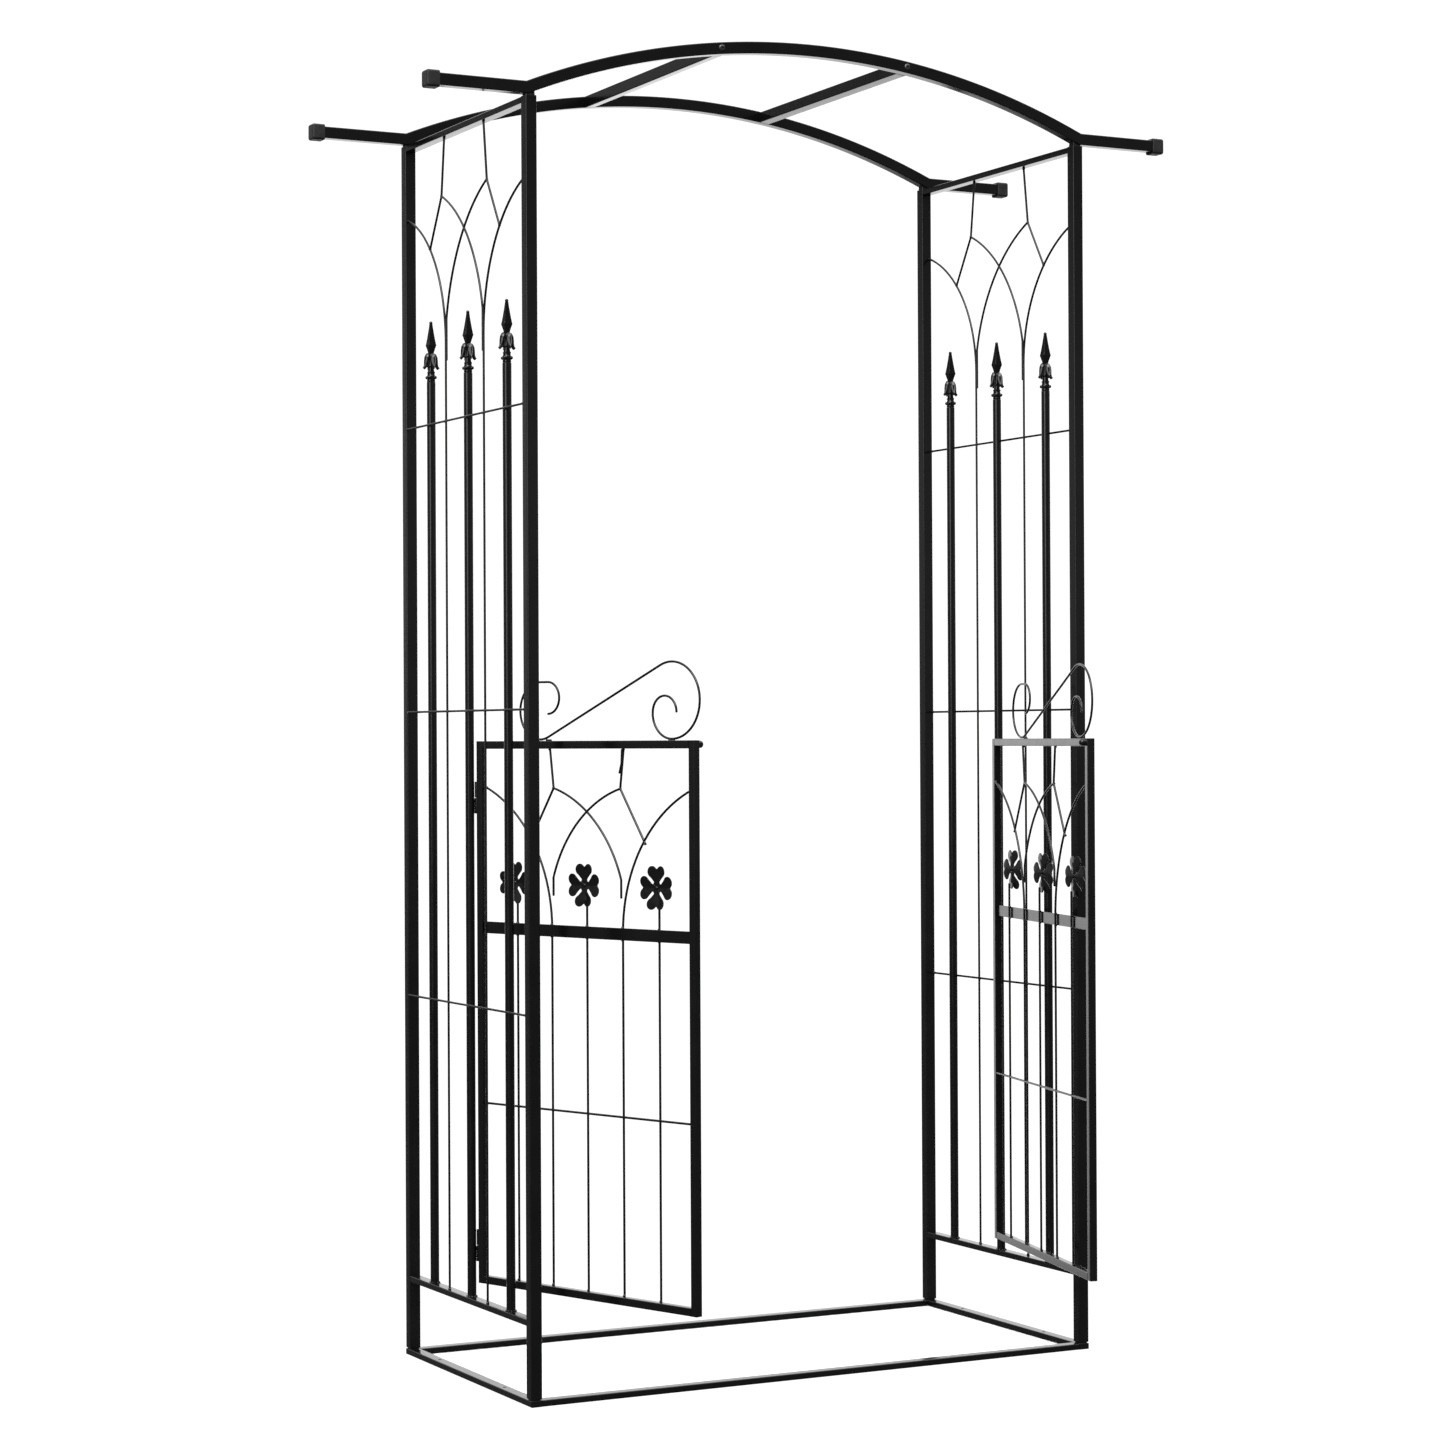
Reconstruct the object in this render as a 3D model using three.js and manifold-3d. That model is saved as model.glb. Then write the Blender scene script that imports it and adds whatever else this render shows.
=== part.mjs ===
// Metal garden arch: four posts on a ground frame, two trellis side panels, a pair of
// gates hinged on the middle bars of the panels, and two arched beams tied by cross rungs.
// Millimetres, +Z up. X runs across the passage and Y through it, from the front (-Y) to
// the rear. The origin is on the ground under the middle of the front ground bar.
import * as THREE from "three";
import { mergeVertices } from "three/addons/utils/BufferGeometryUtils.js";
import Module from "manifold-3d";

const wasm = await Module();
wasm.setup();

// Overall layout
const POST_SPAN = 1000; // between post centres across the passage
const PANEL_DEPTH = 491; // between post centres through the passage
const POST_TOP = 2011;
const GAP = 0.3; // between touching pieces

// Tubes
const POST = 19;
const POST_WALL = 1.4;
const BAR_WIDTH = 19; // flat tube of the ground bars and panel rails
const BAR_HEIGHT = 10;
const SPIGOT = 14.4; // square plug that enters a post
const SPIGOT_LENGTH = 42;

// Ground frame
const PEG_HOLE = 6;
const PEG_HOLE_OFFSET = 131.5; // either side of the middle of a side bar

// Arch
const ARCH_RADIUS = 1309.5; // centreline
const ARCH_CENTRE_Z = 814.5;
const STUB_Z = 2022.5; // centreline of the level ends
const STUB_END = 668;
const CAP_END = 673;
const CAP_LENGTH = 22;
const CAP_DEPTH = 24;
const CAP_HEIGHT = 26;
const RUNG_X = 169.7;

// Side panels
const RAIL_TOP_Z = 2010.5; // upper face of the top rail
const RAIL_LOW_Z = 132.5; // upper face of the bottom rail
const PICKET = 14.5; // outer diameter
const PICKET_BORE = 12;
const PICKET_SPACING = 154.5;
const PICKET_TOP = 1610;
const PICKET_IN = 1.6; // the pickets stand inward of the post centres
const WIRE = 3.8;
const PANEL_WIRE_OUT = 4.4; // upright wires, outward of the post centres
const CROSS_WIRE_OUT = 7.5; // level wires, outward of the post centres
const CROSS_WIRE_Z = [598.5, 1068.5, 1538.5];

// Gates
const HINGE_INSET = 12.6; // hinge axis, inward of the post centres
const HINGE_FORWARD = 4; // hinge axis, forward of the middle picket
const GATE_TUBE = 12.5;
const GATE_START = 4.5; // hinge axis to the hinge stile's outer face
const GATE_LENGTH = 481;
const GATE_LOW_Z = 155;
const GATE_TOP_Z = 1020;
const MID_RAIL_Z = 723;
const MID_RAIL_HEIGHT = 19;
const MID_RAIL_THICK = 4;
const GATE_WIRE_BACK = 4.3; // gate wires, behind the gate's middle plane
const GATE_CROSS_Z = 442;
const CLOVER_Z = 796;
const LEFT_GATE_OPEN = 70.5; // degrees from closed
const RIGHT_GATE_OPEN = 76.3;
const RIGHT_CLOVER_TWIST = 9; // degrees, about the stems of the right gate's clovers
const HINGE_Z = [214.2, 929.7];
const HINGE_HEIGHT = 51;
const HINGE_RADIUS = 4;

// ---------- helpers ----------

const black = { color: 0x16161a, roughness: 0.34, metalness: 0.15 };
const plasticBlack = { color: 0x1b1b1e, roughness: 0.5, metalness: 0 };

// A geometry with shared corners, holding positions only.
function bare(geometry) {
  const positions = geometry.clone();
  positions.deleteAttribute("normal");
  positions.deleteAttribute("uv");
  return mergeVertices(positions, 1e-4);
}

function solid(geometry) {
  const merged = bare(geometry);
  const mesh = new wasm.Mesh({
    numProp: 3,
    vertProperties: new Float32Array(merged.attributes.position.array),
    triVerts: new Uint32Array(merged.index.array),
  });
  return new wasm.Manifold(mesh);
}

function geometryOf(made) {
  const mesh = made.getMesh();
  const geometry = new THREE.BufferGeometry();
  geometry.setAttribute("position", new THREE.BufferAttribute(new Float32Array(mesh.vertProperties), 3));
  geometry.setIndex([...mesh.triVerts]);
  const faceted = geometry.toNonIndexed();
  faceted.computeVertexNormals();
  return faceted;
}

function joined(geometries) {
  return geometryOf(geometries.map(solid).reduce((whole, next) => whole.add(next)));
}

function cut(geometry, tools) {
  return geometryOf(tools.map(solid).reduce((whole, tool) => whole.subtract(tool), solid(geometry)));
}

function piece(group, name, geometry, look = black) {
  const mesh = new THREE.Mesh(geometry, new THREE.MeshStandardMaterial(look));
  mesh.name = name;
  group.add(mesh);
  return mesh;
}

// Rectangle with rounded corners, about its centre.
function roundedRectangle(width, height, radius) {
  const x = width / 2 - radius;
  const y = height / 2 - radius;
  const shape = new THREE.Shape();
  shape.moveTo(-x, -height / 2);
  shape.lineTo(x, -height / 2);
  shape.absarc(x, -y, radius, -Math.PI / 2, 0);
  shape.lineTo(width / 2, y);
  shape.absarc(x, y, radius, 0, Math.PI / 2);
  shape.lineTo(-x, height / 2);
  shape.absarc(-x, y, radius, Math.PI / 2, Math.PI);
  shape.lineTo(-width / 2, -y);
  shape.absarc(-x, -y, radius, Math.PI, Math.PI * 1.5);
  return shape;
}

function polygon(sides, radius, turn = 0) {
  const corner = (i) => {
    const angle = turn + (2 * Math.PI * i) / sides;
    return new THREE.Vector2(radius * Math.cos(angle), radius * Math.sin(angle));
  };
  return new THREE.Shape(Array.from({ length: sides }, (_, i) => corner(i)));
}

const flat = { bevelEnabled: false, curveSegments: 1 };

// A shape pulled out along +Z, with square ends.
const extruded = (shape, depth) => new THREE.ExtrudeGeometry(shape, { ...flat, depth });

// Bars with a rectangular section, given their centre and full size.
function barAlongX(length, depth, height, centre, radius = 1.5) {
  const geometry = extruded(roundedRectangle(depth, height, radius), length);
  geometry.rotateX(Math.PI / 2).rotateZ(Math.PI / 2);
  return geometry.translate(centre[0] - length / 2, centre[1], centre[2]);
}

function barAlongY(length, width, height, centre, radius = 1.5) {
  const geometry = extruded(roundedRectangle(width, height, radius), length);
  geometry.rotateX(Math.PI / 2);
  return geometry.translate(centre[0], centre[1] + length / 2, centre[2]);
}

function barAlongZ(height, width, depth, base, radius = 1.5) {
  const geometry = extruded(roundedRectangle(width, depth, radius), height);
  return geometry.translate(base[0], base[1], base[2]);
}

function rod(radius, height, base, sides = 12) {
  const geometry = extruded(polygon(sides, radius), height);
  return geometry.translate(base[0], base[1], base[2]);
}

// A curve whose steps are the given points, so straight stretches need no extra steps.
class WirePath extends THREE.Curve {
  constructor(points) {
    super();
    this.points = points;
  }
  getUtoTmapping(u) {
    return u;
  }
  getPoint(t, target = new THREE.Vector3()) {
    const place = t * (this.points.length - 1);
    const i = Math.min(Math.floor(place + 1e-9), this.points.length - 2);
    return target.lerpVectors(this.points[i], this.points[i + 1], place - i);
  }
}

// A round wire through points given as [across, up] in a plane; place() sets them in space.
function wire(points, place, diameter = WIRE, sides = 6) {
  const path = new WirePath(points.map(([a, z]) => place(a, z)));
  return new THREE.ExtrudeGeometry(polygon(sides, diameter / 2), {
    ...flat,
    steps: points.length - 1,
    extrudePath: path,
  });
}

// Points on an arc about (ca, cz), from one angle to another, in degrees.
function arcPoints(ca, cz, radius, from, to, steps) {
  return Array.from({ length: steps + 1 }, (_, i) => {
    const angle = THREE.MathUtils.degToRad(from + ((to - from) * i) / steps);
    return [ca + radius * Math.cos(angle), cz + radius * Math.sin(angle)];
  });
}

// Points on the arc that passes through three points.
function arcThrough(p, q, r, steps) {
  const d = 2 * (p[0] * (q[1] - r[1]) + q[0] * (r[1] - p[1]) + r[0] * (p[1] - q[1]));
  const square = (v) => v[0] * v[0] + v[1] * v[1];
  const ca = (square(p) * (q[1] - r[1]) + square(q) * (r[1] - p[1]) + square(r) * (p[1] - q[1])) / d;
  const cz = (square(p) * (r[0] - q[0]) + square(q) * (p[0] - r[0]) + square(r) * (q[0] - p[0])) / d;
  const angle = (v) => THREE.MathUtils.radToDeg(Math.atan2(v[1] - cz, v[0] - ca));
  return arcPoints(ca, cz, Math.hypot(p[0] - ca, p[1] - cz), angle(p), angle(r), steps);
}

// ---------- ground frame and posts ----------

const frame = new THREE.Group();
const frontY = 0;
const rearY = PANEL_DEPTH;
const middleY = PANEL_DEPTH / 2;
const sides = [
  { name: "left", x: -POST_SPAN / 2, out: -1 },
  { name: "right", x: POST_SPAN / 2, out: 1 },
];
const ends = [
  { name: "front", y: frontY },
  { name: "rear", y: rearY },
];

function groundBars() {
  for (const end of ends) {
    const length = POST_SPAN - BAR_WIDTH - 2 * GAP;
    const bar = barAlongX(length, BAR_WIDTH, BAR_HEIGHT, [0, end.y, BAR_HEIGHT / 2]);
    piece(frame, `ground_bar_${end.name}`, bar);
  }
  for (const side of sides) {
    const length = PANEL_DEPTH + BAR_WIDTH;
    const bar = barAlongY(length, BAR_WIDTH, BAR_HEIGHT, [side.x, middleY, BAR_HEIGHT / 2]);
    const spigot = (end) => barAlongZ(SPIGOT_LENGTH, SPIGOT, SPIGOT, [side.x, end.y, BAR_HEIGHT - 2]);
    const hole = (y) => rod(PEG_HOLE / 2, 20, [side.x, y, -5], 16);
    const holes = [middleY - PEG_HOLE_OFFSET, middleY + PEG_HOLE_OFFSET].map(hole);
    piece(frame, `ground_bar_${side.name}`, cut(joined([bar, ...ends.map(spigot)]), holes));
  }
}

function posts() {
  for (const end of ends) {
    for (const side of sides) {
      const section = roundedRectangle(POST, POST, 2);
      const inner = POST / 2 - POST_WALL;
      const bore = new THREE.Path();
      bore.moveTo(-inner, -inner).lineTo(-inner, inner).lineTo(inner, inner).lineTo(inner, -inner);
      section.holes.push(bore);
      const foot = BAR_HEIGHT + 1.6;
      const tube = extruded(section, POST_TOP - foot);
      piece(frame, `post_${end.name}_${side.name}`, tube.translate(side.x, end.y, foot));
    }
  }
}

// ---------- arches, caps and rungs ----------

const archHeight = (x, radius = ARCH_RADIUS) => ARCH_CENTRE_Z + Math.sqrt(radius * radius - x * x);

// Where the arc of the given radius meets a level line.
const archCrossing = (radius, z) => Math.sqrt(radius * radius - (z - ARCH_CENTRE_Z) ** 2);

function archBeam(y) {
  const outer = ARCH_RADIUS + POST / 2;
  const inner = ARCH_RADIUS - POST / 2;
  const top = STUB_Z + POST / 2;
  const low = STUB_Z - POST / 2;
  const edge = 1.2; // rounding of the tube's long edges
  const outline = (trim) => {
    const upperX = archCrossing(outer - trim, top - trim);
    const lowerX = archCrossing(inner + trim, low + trim);
    const degrees = (x, radius) => THREE.MathUtils.radToDeg(Math.acos(x / radius));
    const overEnd = degrees(upperX, outer - trim);
    const underEnd = degrees(lowerX, inner + trim);
    const over = arcPoints(0, ARCH_CENTRE_Z, outer - trim, 180 - overEnd, overEnd, 24);
    const under = arcPoints(0, ARCH_CENTRE_Z, inner + trim, underEnd, 180 - underEnd, 24);
    const leftEnd = [[-STUB_END, low + trim], [-STUB_END, top - trim]];
    const rightEnd = [[STUB_END, top - trim], [STUB_END, low + trim]];
    return [...leftEnd, ...over, ...rightEnd, ...under].map(([x, z]) => new THREE.Vector2(x, z));
  };
  // Full-height middle with a slightly smaller outline outside it, which rounds the edges.
  const slab = (trim, thickness) => {
    const geometry = extruded(new THREE.Shape(outline(trim)), thickness);
    return geometry.rotateX(Math.PI / 2).translate(0, y + thickness / 2, 0);
  };
  const spigot = (side) => barAlongZ(SPIGOT_LENGTH + 8, SPIGOT, SPIGOT, [side.x, y, low - SPIGOT_LENGTH]);
  return joined([slab(0, POST - 2 * edge), slab(edge, POST), ...sides.map(spigot)]);
}

function arches() {
  for (const end of ends) {
    piece(frame, `arch_${end.name}`, archBeam(end.y));
    for (const side of sides) {
      const centre = side.out * (CAP_END - CAP_LENGTH / 2);
      const block = new THREE.ExtrudeGeometry(roundedRectangle(CAP_DEPTH - 3, CAP_HEIGHT - 3, 1.5), {
        depth: CAP_LENGTH - 3,
        bevelEnabled: true,
        bevelSize: 1.5,
        bevelThickness: 1.5,
        bevelSegments: 1,
        curveSegments: 1,
      });
      block.rotateX(Math.PI / 2).rotateZ(Math.PI / 2);
      block.translate(centre - (CAP_LENGTH - 3) / 2, end.y, STUB_Z);
      const pocketLength = CAP_LENGTH;
      const pocketX = side.out * (STUB_END + GAP - pocketLength / 2);
      const pocket = barAlongX(pocketLength, POST + 2 * GAP, POST + 2 * GAP, [pocketX, end.y, STUB_Z], 0.6);
      piece(frame, `arch_cap_${end.name}_${side.name}`, cut(block, [pocket]), plasticBlack);
    }
  }
}

function rungs() {
  for (const side of sides) {
    const x = side.out * RUNG_X;
    const length = PANEL_DEPTH - POST - 2 * GAP;
    const rung = piece(frame, `arch_rung_${side.name}`, barAlongY(length, POST, POST, [0, 0, 0]));
    rung.position.set(x, middleY, archHeight(x));
    rung.rotation.y = Math.asin(x / ARCH_RADIUS);
  }
}

// ---------- tracery shared by the panels and the gates ----------

// The bent wires of one tracery, in plane coordinates with the middle at across = 0.
// stem: across of the two wires that bend outward; springZ: where their bends start;
// reach: across where they stop; node: where the crossing arcs, struts and uprights meet.
function tracery(sizes) {
  const { stem, springZ, bendRadius, reach, node, nodeZ, crossZ, mergeZ, tailZ } = sizes;
  const { strut, strutZ, topZ, topAcross } = sizes;
  const lines = [];
  for (const way of [-1, 1]) {
    const along = (points) => points.map(([a, z]) => [way * a, z]);
    const bendEnd = THREE.MathUtils.radToDeg(Math.acos(1 - (reach - stem) / bendRadius));
    lines.push(along(arcPoints(stem + bendRadius, springZ, bendRadius, 180, 180 - bendEnd, 9)));
    const crossing = arcThrough([-node, nodeZ], [0, crossZ], [stem - WIRE * 0.8, mergeZ], 8);
    lines.push(along([...crossing, [stem - WIRE * 0.8, tailZ]]));
    lines.push(along([[node, nodeZ], [strut, strutZ]]));
    lines.push(along([[node, nodeZ], [topAcross, topZ]]));
  }
  return lines;
}

// ---------- side panels ----------

// Cast finial: square collar with a ball at each corner, skirt, four drooping leaves and a
// four-sided spear with a bead at its tip.
function finial() {
  const profile = [
    [0, -14],
    [5.4, -14],
    [5.4, GAP],
    [7.6, GAP],
    [8.2, 6],
    [7.2, 10],
    [5.6, 13],
    [3.9, 24],
    [3.6, 44],
    [0, 45],
  ].map(([r, z]) => new THREE.Vector2(r, z));
  const body = new THREE.LatheGeometry(profile, 8).rotateX(Math.PI / 2);
  // Four-sided cones stand with their faces square to the panel.
  const spearPart = (top, bottom, height, middle) => {
    const cone = new THREE.CylinderGeometry(top, bottom, height, 4, 1).rotateY(Math.PI / 4);
    return cone.rotateX(Math.PI / 2).translate(0, 0, middle);
  };
  const spearLow = spearPart(9.8, 5, 17, 51.5);
  const spearHigh = spearPart(2.6, 9.8, 36, 78);
  const bead = new THREE.CylinderGeometry(1.6, 2.9, 5.5, 6).rotateX(Math.PI / 2).translate(0, 0, 97.2);
  const leafOutline = new THREE.Shape();
  leafOutline.moveTo(2, 46);
  leafOutline.quadraticCurveTo(10.4, 46, 11.4, 33);
  leafOutline.lineTo(14.6, 21.5);
  leafOutline.lineTo(11, 20.5);
  leafOutline.quadraticCurveTo(7.4, 30, 2, 32);
  const leaves = [0, 1, 2, 3].map((i) => {
    const leaf = new THREE.ExtrudeGeometry(leafOutline, { bevelEnabled: false, curveSegments: 2, depth: 9 });
    return leaf.rotateX(Math.PI / 2).translate(0, 4.5, 0).rotateZ((i * Math.PI) / 2);
  });
  const balls = [0, 1, 2, 3].map((i) => {
    const angle = Math.PI / 4 + (i * Math.PI) / 2;
    const ball = new THREE.SphereGeometry(2.9, 6, 4).rotateX(Math.PI / 2);
    return ball.translate(7.2 * Math.cos(angle), 7.2 * Math.sin(angle), 8.5);
  });
  return joined([body, spearLow, spearHigh, bead, ...leaves, ...balls]);
}

function panelWires(side) {
  const uprightX = side.x + side.out * PANEL_WIRE_OUT;
  const levelX = side.x + side.out * CROSS_WIRE_OUT;
  const upright = (across, z) => new THREE.Vector3(uprightX, middleY + across, z);
  const level = (across, z) => new THREE.Vector3(levelX, middleY + across, z);
  const stem = PICKET_SPACING / 2;
  const postFace = (PANEL_DEPTH - POST) / 2 - GAP;
  const foot = RAIL_LOW_Z + GAP;
  const springZ = 1664;
  const wires = [-stem, stem].map((a) => wire([[a, foot], [a, springZ + 2]], upright));
  const lines = tracery({
    stem,
    springZ,
    bendRadius: 235,
    reach: postFace - 0.6,
    node: 92.5,
    nodeZ: 1906,
    crossZ: 1842.5,
    mergeZ: 1704,
    tailZ: 1637.5,
    strut: 141.5,
    strutZ: 1826,
    topZ: RAIL_TOP_Z - BAR_HEIGHT - GAP,
    topAcross: 80.5,
  });
  wires.push(...lines.map((points) => wire(points, upright)));
  wires.push(...CROSS_WIRE_Z.map((z) => wire([[-postFace, z], [postFace, z]], level)));
  return joined(wires);
}

function sidePanel(side) {
  const railLength = PANEL_DEPTH - POST - 2 * GAP;
  const railZ = { top: RAIL_TOP_Z - BAR_HEIGHT / 2, bottom: RAIL_LOW_Z - BAR_HEIGHT / 2 };
  for (const [where, z] of Object.entries(railZ)) {
    const rail = barAlongY(railLength, BAR_WIDTH, BAR_HEIGHT, [side.x, middleY, z]);
    piece(frame, `${side.name}_panel_${where}_rail`, rail);
  }
  const x = side.x - side.out * PICKET_IN;
  const places = { front: -PICKET_SPACING, middle: 0, rear: PICKET_SPACING };
  for (const [where, offset] of Object.entries(places)) {
    const y = middleY + offset;
    const foot = RAIL_LOW_Z + GAP;
    const bar = rod(PICKET / 2, PICKET_TOP - foot, [x, y, foot]);
    const bore = rod(PICKET_BORE / 2, PICKET_TOP, [x, y, 0], 8);
    piece(frame, `${side.name}_panel_picket_${where}`, cut(bar, [bore]));
    piece(frame, `${side.name}_panel_finial_${where}`, finial().translate(x, y, PICKET_TOP));
  }
  piece(frame, `${side.name}_panel_wirework`, panelWires(side));
}

// ---------- gates ----------

// A gate is built closed, in its own group at the hinge axis. inward is +1 for the left
// gate, which runs towards +X, and -1 for the right gate.
function hingeStile(inward) {
  const x = inward * (GATE_START + GATE_TUBE / 2);
  const stile = barAlongZ(GATE_TOP_Z - GATE_LOW_Z, GATE_TUBE, GATE_TUBE, [x, 0, GATE_LOW_Z]);
  const half = HINGE_HEIGHT / 2;
  const barrels = HINGE_Z.map((z) => rod(HINGE_RADIUS, half - GAP, [0, 0, z + GAP]));
  const webX = inward * (HINGE_RADIUS - 0.6);
  const webs = HINGE_Z.map((z) => barAlongZ(half - GAP, 4, 5, [webX, 0, z + GAP], 0.5));
  const pinHoles = HINGE_Z.map((z) => rod(2.3, half - 5, [0, 0, z - 1], 8));
  return cut(joined([stile, ...barrels, ...webs]), pinHoles);
}

// The closing corner of each gate carries a short round-nosed stud on its rear face.
function freeStile(inward) {
  const x = inward * (GATE_START + GATE_LENGTH - GATE_TUBE / 2);
  const stile = barAlongZ(GATE_TOP_Z - GATE_LOW_Z, GATE_TUBE, GATE_TUBE, [x, 0, GATE_LOW_Z]);
  const nose = [[0, 0], [5.9, 0], [5.9, 12], [4.6, 15.2], [2, 16.8], [0, 17]];
  const profile = nose.map(([r, z]) => new THREE.Vector2(r, z));
  const stud = new THREE.LatheGeometry(profile, 12).translate(0, GATE_TUBE / 2 - 5, 0);
  return joined([stile, stud.translate(x, 0, GATE_TOP_Z - GATE_TUBE / 2)]);
}

// Four heart-shaped leaves in a cross, parted by narrow slots along the diagonals.
function clover() {
  const lobe = { a: 8.9, z: 24.4, r: 9 };
  const slot = { end: 8.2, r: 2.5 };
  const half = [
    [0, 28.6],
    ...arcPoints(lobe.a, lobe.z, lobe.r, 145, -45, 5),
    ...arcPoints(slot.end, slot.end, slot.r, 135, 225, 2),
  ];
  const other = half.slice(1, -1).reverse().map(([a, z]) => [-a, z]);
  const leaf = [...other, ...half].map(([a, z]) => new THREE.Vector2(a, z));
  const centre = new THREE.Vector2(0, 0);
  const turnedLeaf = (i) => leaf.map((p) => p.clone().rotateAround(centre, (-i * Math.PI) / 2));
  const outline = new THREE.Shape([0, 1, 2, 3].flatMap(turnedLeaf));
  const thickness = 3;
  const plate = extruded(outline, thickness).rotateX(Math.PI / 2);
  const rivet = new THREE.CylinderGeometry(2.6, 1.4, 2, 8).translate(0, -thickness - 0.8, 0);
  return joined([plate, rivet]);
}

const gateMiddle = GATE_START + GATE_LENGTH / 2;
const gateWireSpacing = (GATE_LENGTH - GATE_TUBE) / 6;
const gateInner = GATE_LENGTH / 2 - GATE_TUBE - GAP;

function gateWires(inward, spareTail) {
  const place = (across, z) => new THREE.Vector3(inward * (gateMiddle + across), GATE_WIRE_BACK, z);
  const foot = GATE_LOW_Z + GATE_TUBE + GAP;
  const railUnder = GATE_TOP_Z - GATE_TUBE - GAP;
  const springZ = 725;
  const stem = (n, top) => wire([[n * gateWireSpacing, foot], [n * gateWireSpacing, top]], place);
  const wires = [-1, 1].map((n) => stem(n, springZ + 2));
  wires.push(...[-2, 0, 2].map((n) => stem(n, CLOVER_Z - 31)));
  const lines = tracery({
    stem: gateWireSpacing,
    springZ,
    bendRadius: 238,
    reach: gateInner - 0.6,
    node: 73.5,
    nodeZ: 946,
    crossZ: 910,
    mergeZ: 806,
    tailZ: 778,
    strut: 127,
    strutZ: 862,
    topZ: railUnder,
    topAcross: 81,
  });
  wires.push(...lines.map((points) => wire(points, place)));
  wires.push(wire([[-gateInner, GATE_CROSS_Z], [gateInner, GATE_CROSS_Z]], place));
  if (spareTail) {
    wires.push(wire([[78, railUnder], [76.6, 985], [72, 970]], place));
  }
  return joined(wires);
}

// S-shaped wire on the top rail: a large curl over the closing side, a small one by the hinge.
function gateScroll(inward) {
  const place = (a, z) => new THREE.Vector3(inward * (GATE_START + a), 0, z);
  const lowZ = GATE_TOP_Z + WIRE / 2 + GAP;
  const large = { a: 429, z: lowZ + 58.5, r: 58.5 };
  const small = { a: 142, z: lowZ + 45, r: 45 };
  const points = [
    ...arcPoints(414, large.z - 18, 25, 0, 180, 8),
    ...arcPoints(429, lowZ + 40.5, 40.5, 180, 270, 4).slice(1),
    ...arcPoints(large.a, large.z, large.r, -90, 114.5, 13).slice(1),
    ...arcPoints(small.a, small.z, small.r, 294.5, 90, 10),
    ...arcPoints(160, small.z + 20, 25, 90, -90, 7),
  ];
  return wire(points, place, WIRE, 6);
}

function gate(side, openDegrees, cloverTwist, spareTail) {
  const inward = -side.out;
  const group = new THREE.Group();
  group.position.set(side.x - side.out * HINGE_INSET, middleY - HINGE_FORWARD, 0);
  group.rotation.z = THREE.MathUtils.degToRad(-inward * openDegrees);
  frame.add(group);
  const name = `${side.name}_gate`;
  const railLength = GATE_LENGTH - 2 * GATE_TUBE - 2 * GAP;
  const middle = inward * gateMiddle;
  piece(group, `${name}_hinge_stile`, hingeStile(inward));
  piece(group, `${name}_free_stile`, freeStile(inward));
  const railZ = { top: GATE_TOP_Z - GATE_TUBE / 2, bottom: GATE_LOW_Z + GATE_TUBE / 2 };
  for (const [where, z] of Object.entries(railZ)) {
    piece(group, `${name}_${where}_rail`, barAlongX(railLength, GATE_TUBE, GATE_TUBE, [middle, 0, z]));
  }
  const strip = barAlongX(railLength, MID_RAIL_THICK, MID_RAIL_HEIGHT, [middle, 0, MID_RAIL_Z], 0.6);
  piece(group, `${name}_mid_rail`, strip);
  piece(group, `${name}_wirework`, gateWires(inward, spareTail));
  piece(group, `${name}_scroll`, gateScroll(inward));
  const cloverPlaces = { hinge: -2, middle: 0, free: 2 };
  for (const [where, n] of Object.entries(cloverPlaces)) {
    const shape = clover().rotateZ(THREE.MathUtils.degToRad(cloverTwist));
    const x = inward * (gateMiddle + n * gateWireSpacing);
    piece(group, `${name}_clover_${where}`, shape.translate(x, GATE_WIRE_BACK - WIRE / 2 - GAP, CLOVER_Z));
  }
}

// Fixed lower half of a hinge: a short barrel with a pin, welded to the middle picket.
function hingePins(side) {
  const axisX = side.x - side.out * HINGE_INSET;
  const axisY = middleY - HINGE_FORWARD;
  const half = HINGE_HEIGHT / 2;
  const toPicket = Math.atan2(HINGE_FORWARD, side.out * (HINGE_INSET - PICKET_IN));
  HINGE_Z.forEach((z, i) => {
    const barrel = rod(HINGE_RADIUS, half - GAP, [0, 0, z - half]);
    const pin = rod(1.9, half + 12, [0, 0, z - half], 8);
    const reach = Math.hypot(HINGE_INSET - PICKET_IN, HINGE_FORWARD) - PICKET / 2 - GAP;
    const web = barAlongZ(half - GAP, reach, 3, [reach / 2, 0, z - half], 0.4).rotateZ(toPicket);
    const where = i === 0 ? "lower" : "upper";
    piece(frame, `${side.name}_hinge_pin_${where}`, joined([barrel, pin, web]).translate(axisX, axisY, 0));
  });
}

groundBars();
posts();
arches();
rungs();
sides.forEach(sidePanel);
sides.forEach(hingePins);
gate(sides[0], LEFT_GATE_OPEN, 0, true);
gate(sides[1], RIGHT_GATE_OPEN, RIGHT_CLOVER_TWIST, false);

export default frame;
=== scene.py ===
"""Black powder-coated garden arch with trellis sides and a pair of gates, in a white studio."""

import math

import bmesh
import bpy
from mathutils import Matrix, Vector, noise


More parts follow.
